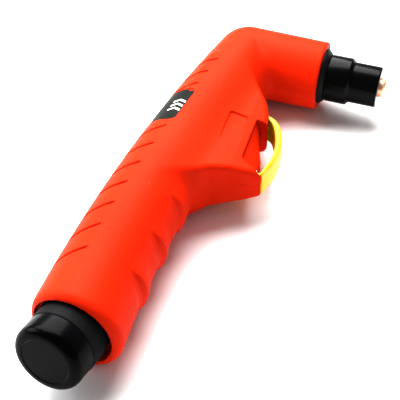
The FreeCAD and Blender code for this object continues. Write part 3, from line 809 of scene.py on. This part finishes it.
def arc_points(a, b, c, count):
    """Points of the circle through three points, from a on and short of c."""
    ax, ay, bx, by, cx, cy = *a, *b, *c
    a2, b2, c2 = ax**2 + ay**2, bx**2 + by**2, cx**2 + cy**2
    d = 2 * (ax * (by - cy) + bx * (cy - ay) + cx * (ay - by))
    ux = (a2 * (by - cy) + b2 * (cy - ay) + c2 * (ay - by)) / d
    uy = (a2 * (cx - bx) + b2 * (ax - cx) + c2 * (bx - ax)) / d
    radius = math.hypot(ax - ux, ay - uy)
    start = math.atan2(ay - uy, ax - ux)
    end = math.atan2(cy - uy, cx - ux)
    sweep = (end - start + math.pi) % (2 * math.pi) - math.pi
    return [(ux + radius * math.cos(start + sweep * i / count),
             uy + radius * math.sin(start + sweep * i / count)) for i in range(count)]


def lever_field(x, y, z):
    """Trigger lever: a bowed plate with rounded edges, its lug on the pin and its pad."""
    outline = [point for arc in LEVER_ARCS for point in arc_points(*arc)] + [LEVER_TOE]
    crown = LEVER_CROWN * (z / LEVER_CROWN_REACH) ** 2 * step(*LEVER_CROWN_START, y)
    plate = polygon_distance(x + crown, y, outline) + LEVER_SKIN
    bow = smooth_max(plate, np.abs(z) - LEVER_HALF_WIDTH, LEVER_EDGE) - LEVER_SKIN
    from_pin = np.hypot(x - LEVER_PIN[0], y - LEVER_PIN[1])
    lug = np.maximum(from_pin - LEVER_LUG_R, np.abs(z) - LEVER_LUG_HALF_WIDTH)
    whole = smooth_min(bow, np.minimum(lug, box_distance(x, y, z, LEVER_NECK)), LEVER_LUG_FILLET)
    whole = smooth_min(whole, box_distance(x, y, z, LEVER_PAD), LEVER_PAD_FILLET)
    return smooth_max(whole, LEVER_PIN_BORE_R - from_pin, LEVER_PIN_EDGE)


def make_lever():
    """Trigger lever."""
    points, quads = surface_net(lever_field, LEVER_LOW, LEVER_HIGH, LEVER_PITCH)
    return smooth(new_object("lever_bow", settle(points, lever_field), quads))


def make_spring():
    """Return spring between the pocket's floor and the lever's tongue."""
    steps, sides = SPRING_TURNS * SPRING_TURN_STEPS, SPRING_SIDES
    points = []
    for count in range(steps + 1):
        angle = 2 * math.pi * SPRING_TURNS * count / steps
        centre = Vector((SPRING_FOOT[0] + SPRING_LENGTH * count / steps,
                         SPRING_FOOT[1] + SPRING_COIL_R * math.cos(angle), SPRING_COIL_R * math.sin(angle)))
        outward = Vector((0, math.cos(angle), math.sin(angle)))
        for side in range(sides):
            tilt = 2 * math.pi * side / sides
            lift = Vector((SPRING_WIRE_R * math.sin(tilt), 0, 0))
            points.append(centre + outward * SPRING_WIRE_R * math.cos(tilt) + lift)
    faces = [tuple(reversed(range(sides))), tuple(range(steps * sides, (steps + 1) * sides))]
    for count in range(steps):
        for side in range(sides):
            a, b = count * sides + side, count * sides + (side + 1) % sides
            faces.append((a, b, b + sides, a + sides))
    spring = new_object("return_spring", [point[:] for point in points], faces)
    smooth(spring, SPRING_SHARP_ANGLE)
    face_outwards(spring)
    return spring


def on_barrel(along, angle, lift):
    """Place over the barrel's plain surface."""
    bend = along / BEND_R
    reach = float(barrel_radius(np.array(along)) + lift)
    side = reach * math.cos(math.radians(angle))
    return (BEND_R - (BEND_R - side) * math.cos(bend), (BEND_R - side) * math.sin(bend),
            reach * math.sin(math.radians(angle)))


def foil_points(lift):
    """Grid of places over the label's rounded outline."""
    middle = sum(LABEL_ALONG) / 2
    half_length = (LABEL_ALONG[1] - LABEL_ALONG[0]) / 2 - FOIL_GAP
    half_arc = math.radians(LABEL_HALF_ANGLE) * BARREL_R - FOIL_GAP
    points = []
    for row in range(FOIL_ROWS):
        along = middle + half_length * (-1 + 2 * row / (FOIL_ROWS - 1))
        inside = abs(along - middle) - (half_length - FOIL_CORNER)
        cut = FOIL_CORNER - math.sqrt(max(FOIL_CORNER ** 2 - max(inside, 0) ** 2, 0))
        for column in range(FOIL_COLUMNS):
            arc = (half_arc - cut) * (-1 + 2 * column / (FOIL_COLUMNS - 1))
            points.append(on_barrel(along, 180 + math.degrees(arc / BARREL_R), lift))
    return points


def foil_faces():
    """Faces of two grids and of the rim between them."""
    rows, columns = FOIL_ROWS, FOIL_COLUMNS
    layer = rows * columns
    faces = []
    for row in range(rows - 1):
        for column in range(columns - 1):
            a = row * columns + column
            quad = (a, a + 1, a + columns + 1, a + columns)
            faces.append(quad)
            faces.append(tuple(layer + index for index in reversed(quad)))
    border = list(range(columns))
    border += [row * columns + columns - 1 for row in range(1, rows)]
    border += [(rows - 1) * columns + column for column in range(columns - 2, -1, -1)]
    border += [row * columns for row in range(rows - 2, 0, -1)]
    for a, b in zip(border, border[1:] + border[:1]):
        faces.append((b, a, layer + a, layer + b))
    return faces


def make_foil():
    """Label foil wrapped over the spine."""
    points = [point for lift in FOIL_LIFTS for point in foil_points(lift)]
    foil = new_object("label_foil", points, foil_faces())
    face_outwards(foil)
    return smooth(foil, FOIL_SHARP_ANGLE)


def make_ink():
    """Three printed chevrons as raised ink on the foil."""
    points = []
    faces = []
    for count in range(CHEVRONS):
        start = CHEVRON_START + CHEVRON_PITCH * count
        for part in range(CHEVRON_PARTS):
            for end in (0, 1):
                share = (part + end) / CHEVRON_PARTS
                angle = CHEVRON_FIRST_ANGLE - CHEVRON_SWEEP * share
                bend = CHEVRON_BEND * abs(share - 0.5) * 2
                for width in (0, CHEVRON_WIDTH):
                    points.append(on_barrel(start - bend + width, angle, INK_LIFT))
            base = len(points) - 4
            faces.append((base, base + 1, base + 3, base + 2))
    ink = new_object("label_ink", points, faces)
    thicken = ink.modifiers.new("thickness", "SOLIDIFY")
    thicken.thickness = INK_THICKNESS * MM
    thicken.offset = -1
    return ink


def make_gland():
    """Cable gland's leaning sleeve behind the rim, and its straight neck with a flange."""
    sleeve = lathe("gland_sleeve", SLEEVE_PROFILE, (0, 0, 0), SLEEVE_AXIS)
    neck = lathe("gland_neck", NECK_PROFILE, (0, 0, 0), (0, 1, 0))
    return sleeve, neck


def make_cap():
    """Glossy push-in cap with a rolled edge and a faintly dished end."""
    return lathe("cap_shell", CAP_PROFILE, (0, 0, 0), SLEEVE_AXIS)


def make_head_parts():
    """Turned pieces about the head's axis."""
    head = tuple(ELBOW)
    axis = tuple(HEAD_AXIS)
    collar = lathe("head_moulding", COLLAR_PROFILE, head, axis)
    cup = lathe("cup_body", CUP_PROFILE, head, axis)
    tip = lathe("tip_nozzle", TIP_PROFILE, head, axis)
    return collar, cup, tip


# ---------------------------------------------------------------- materials

def new_finish(name):
    """New material, its node tree, its principled shader and its object coordinates."""
    material = bpy.data.materials.new(name)
    material.use_nodes = True
    tree = material.node_tree
    place = tree.nodes.new("ShaderNodeTexCoord").outputs["Object"]
    return material, tree, tree.nodes["Principled BSDF"], place


def noise(tree, place, scale, detail):
    """Noise over object coordinates."""
    texture = tree.nodes.new("ShaderNodeTexNoise")
    texture.inputs["Scale"].default_value = scale
    texture.inputs["Detail"].default_value = detail
    tree.links.new(place, texture.inputs["Vector"])
    return texture.outputs["Fac"]


def remap(tree, value, source, target):
    """Value moved from one range to another."""
    ramp = tree.nodes.new("ShaderNodeMapRange")
    ramp.inputs["From Min"].default_value, ramp.inputs["From Max"].default_value = source
    ramp.inputs["To Min"].default_value, ramp.inputs["To Max"].default_value = target
    tree.links.new(value, ramp.inputs["Value"])
    return ramp.outputs["Result"]


def blend(tree, factor, first, second):
    """Mix of two colours, of which the first may be another mix."""
    mix = tree.nodes.new("ShaderNodeMix")
    mix.data_type = "RGBA"
    if isinstance(first, tuple):
        mix.inputs["A"].default_value = (*first, 1)
    else:
        tree.links.new(first, mix.inputs["A"])
    mix.inputs["B"].default_value = (*second, 1)
    tree.links.new(factor, mix.inputs["Factor"])
    return mix.outputs["Result"]


def pointiness(tree):
    """How convex or hollow the mesh is: about 0.5 where it is flat."""
    return tree.nodes.new("ShaderNodeNewGeometry").outputs["Pointiness"]


def roughen(tree, shader, height, strength, distance):
    """Bump from a height."""
    bump = tree.nodes.new("ShaderNodeBump")
    bump.inputs["Strength"].default_value = strength
    bump.inputs["Distance"].default_value = distance
    tree.links.new(height, bump.inputs["Height"])
    tree.links.new(bump.outputs["Normal"], shader.inputs["Normal"])


def moulded(name, colour, darker, roughness, grain=0.00012, grain_scale=2600, specular=0.5,
            mottle=18, rough_spread=0.08, edge=None, hollow_shade_colour=None):
    """Moulded plastic or rubber: fine grain, slow colour drift, lighter edges (wear, and on the lever a
    painted highlight) and painted shade in the hollows.
    """
    material, tree, shader, place = new_finish(name)
    drift = noise(tree, place, mottle, 4)
    tint = blend(tree, drift, colour, darker)
    # Edges lighter by pointiness: wear, and on the trigger lever a painted highlight.
    if edge:
        wear_and_highlight = remap(tree, pointiness(tree), WEAR_AND_HIGHLIGHT_EDGES, (0, WEAR_AND_HIGHLIGHT_SHARE))
        tint = blend(tree, wear_and_highlight, tint, edge)
    # Hollows darkened by pointiness: painted shade in the grooves and creases.
    if hollow_shade_colour:
        painted_shade = remap(tree, pointiness(tree), PAINTED_SHADE_HOLLOWS, (0, PAINTED_SHADE_SHARE))
        tint = blend(tree, painted_shade, tint, hollow_shade_colour)
    tree.links.new(tint, shader.inputs["Base Color"])
    roughen(tree, shader, noise(tree, place, grain_scale, 3), GRAIN_STRENGTH, grain)
    spread = (roughness - rough_spread, roughness + rough_spread)
    tree.links.new(remap(tree, drift, (0, 1), spread), shader.inputs["Roughness"])
    shader.inputs["Specular IOR Level"].default_value = specular
    return material


def turned_metal(name, colour, darker, roughness, tarnish=40):
    """Machined metal with fine tool marks and patches of tarnish."""
    material, tree, shader, place = new_finish(name)
    patches = noise(tree, place, tarnish, 5)
    tree.links.new(blend(tree, patches, colour, darker), shader.inputs["Base Color"])
    shader.inputs["Metallic"].default_value = 1.0
    spread = (roughness * SMOOTHEST, roughness * ROUGHEST)
    tree.links.new(remap(tree, patches, (0, 1), spread), shader.inputs["Roughness"])
    marks = noise(tree, place, TOOL_MARK_SCALE, 2)
    roughen(tree, shader, marks, TOOL_MARK_STRENGTH, TOOL_MARK_DEPTH)
    return material


def paint(obj, material):
    """Give an object one material."""
    obj.data.materials.clear()
    obj.data.materials.append(material)


def make_materials():
    """Every finish by its slot name."""
    return {
        # The red grip's dark hollow colour is painted shade in its grooves and creases.
        "grip_red": moulded("grip_red", (0.68, 0.030, 0.0012), (0.62, 0.022, 0.0008), 0.55, specular=0.07,
                edge=(0.82, 0.06, 0.012), hollow_shade_colour=(0.22, 0.0, 0.0)),
        "label_dark": moulded("label_dark", (0.014, 0.017, 0.013), (0.010, 0.012, 0.009), 0.55, specular=0.06,
                grain=0.00004, grain_scale=5200, mottle=60),
        "label_print": moulded("label_print", (0.86, 0.86, 0.84), (0.74, 0.74, 0.72), 0.5, grain=0.00003),
        "screw_steel": turned_metal("screw_steel", (0.62, 0.61, 0.58), (0.45, 0.45, 0.45), 0.32),
        "gland_rubber": moulded("gland_rubber", (0.016, 0.017, 0.018), (0.004, 0.0045, 0.005), 0.7,
                specular=0.10, grain=0.0002, grain_scale=1500, mottle=90, edge=(0.06, 0.06, 0.06)),
        "inner_black": moulded("inner_black", (0.010, 0.0105, 0.011), (0.006, 0.0065, 0.007), 0.5,
                specular=0.15, edge=(0.05, 0.05, 0.05)),
        "cap_black": moulded("cap_black", (0.001, 0.0012, 0.0015), (0.0006, 0.0008, 0.001), 0.24,
                grain=0.00002, grain_scale=900, rough_spread=0.04, specular=0.05, edge=(0.02, 0.02, 0.024)),
        "brass": turned_metal("brass", (0.80, 0.58, 0.26), (0.62, 0.42, 0.17), 0.28),
        "lead_insulation": moulded("lead_insulation", (0.05, 0.05, 0.06), (0.03, 0.03, 0.035), 0.55),
        "seal_rubber": moulded("seal_rubber", (0.33, 0.07, 0.035), (0.25, 0.05, 0.025), 0.5),
        "swirl_polymer": moulded("swirl_polymer", (0.24, 0.10, 0.045), (0.17, 0.065, 0.03), 0.45),
        "copper": turned_metal("copper", (0.93, 0.60, 0.42), (0.86, 0.48, 0.31), 0.42, tarnish=120),
        "emitter_metal": turned_metal("emitter_metal", (0.48, 0.48, 0.50), (0.36, 0.36, 0.38), 0.35),
        "cup_black": moulded("cup_black", (0.001, 0.0012, 0.0014), (0.0007, 0.0008, 0.001), 0.22,
                grain=0.00003, grain_scale=1400, rough_spread=0.05, specular=0.10, edge=(0.03, 0.03, 0.03)),
        # The pale edge colour is a painted highlight along the lever's lit edges.
        "trigger_yellow": moulded("trigger_yellow", (0.72, 0.57, 0.008), (0.66, 0.48, 0.005), 0.4,
                grain=0.00005, grain_scale=1800, specular=0.4, edge=(1.0, 0.93, 0.30)),
        "plunger_plastic": moulded("plunger_plastic", (0.76, 0.75, 0.70), (0.68, 0.66, 0.60), 0.35)}


# ---------------------------------------------------------------- stage

def area_light(name, place, size, power):
    """Soft box that faces the torch."""
    data = bpy.data.lights.new(name, "AREA")
    data.shape = "RECTANGLE"
    data.size, data.size_y = size
    data.energy = power
    lamp = add_object(name, data)
    lamp.location = place
    lamp.rotation_euler = (Vector(LIGHT_TARGET) - Vector(place)).to_track_quat("-Z", "Y").to_euler()


def make_floor(floor_z):
    """Plain pale floor under the torch."""
    size = FLOOR_HALF_SIZE
    points = [(-size, -size, floor_z), (size, -size, floor_z), (size, size, floor_z), (-size, size, floor_z)]
    floor = new_object("floor", np.array(points) / MM, [(0, 1, 2, 3)])
    material, tree, shader, _ = new_finish("paper")
    paper = tree.nodes.new("ShaderNodeTexNoise")
    paper.inputs["Scale"].default_value = PAPER_SCALE
    tree.links.new(blend(tree, paper.outputs["Fac"], *PAPER_TONES), shader.inputs["Base Color"])
    shader.inputs["Roughness"].default_value = 0.9
    shader.inputs["Specular IOR Level"].default_value = 0.1
    paint(floor, material)


def make_camera():
    """Camera behind and above the torch's rear end."""
    level = math.cos(CAMERA_ELEVATION)
    back = Vector((math.sin(CAMERA_AZIMUTH) * level, -math.cos(CAMERA_AZIMUTH) * level,
                   math.sin(CAMERA_ELEVATION)))
    data = bpy.data.cameras.new("camera")
    data.sensor_width = CAMERA_SENSOR
    data.lens = CAMERA_LENS
    data.clip_start = CAMERA_NEAR
    camera = add_object("camera", data)
    camera.location = Vector(CAMERA_TARGET) + back * CAMERA_DISTANCE
    aim = (-back).to_track_quat("-Z", "Y").to_matrix().to_4x4()
    camera.rotation_euler = (aim @ Matrix.Rotation(CAMERA_ROLL, 4, "Z")).to_euler()
    bpy.context.scene.camera = camera


def make_light():
    """White tent with a large soft box above and a small one on the spine's side."""
    world = bpy.data.worlds.new("tent")
    world.use_nodes = True
    background = world.node_tree.nodes["Background"]
    background.inputs["Color"].default_value = (1, 1, 1, 1)
    background.inputs["Strength"].default_value = TENT_STRENGTH
    bpy.context.scene.world = world
    for name, place, size, power in SOFT_BOXES:
        area_light(name, place, size, power)


def main():
    """Build every piece, its finish and the stage."""
    finish = make_materials()
    for subpart in frame["record"]["subparts"]:
        paint(frame["nodes"][subpart["node"]], finish[subpart["material_slot"]])

    right, left = make_shells()
    for shell, node in ((right, "handle_shell_right"), (left, "handle_shell_left")):
        paint(replace(shell, node, "handle"), finish["grip_red"])
    paint(replace(make_lever(), "trigger_lever", "trigger"), finish["trigger_yellow"])
    spring = replace(make_spring(), "trigger_spring", "handle")
    paint(spring, finish["screw_steel"])
    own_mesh(spring)
    foil = replace(make_foil(), "label_plate", "handle")
    paint(foil, finish["label_dark"])
    ink = make_ink()
    paint(ink, finish["label_print"])
    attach(ink, "handle")
    for gland in make_gland():
        paint(replace(gland, "cable_gland", "handle"), finish["gland_rubber"])
    paint(replace(make_cap(), "rear_cap", "cap"), finish["cap_black"])
    collar, cup, tip = make_head_parts()
    paint(replace(collar, "torch_head_body", "handle"), finish["inner_black"])
    paint(replace(cup, "shield_cup", "cup"), finish["cup_black"])
    paint(replace(tip, "cutting_tip", "handle"), finish["copper"])

    make_floor(cad_box[0][2])
    make_camera()
    make_light()
    bpy.context.scene.view_settings.view_transform = "Standard"
    bpy.context.scene.view_settings.gamma = VIEW_GAMMA


main()
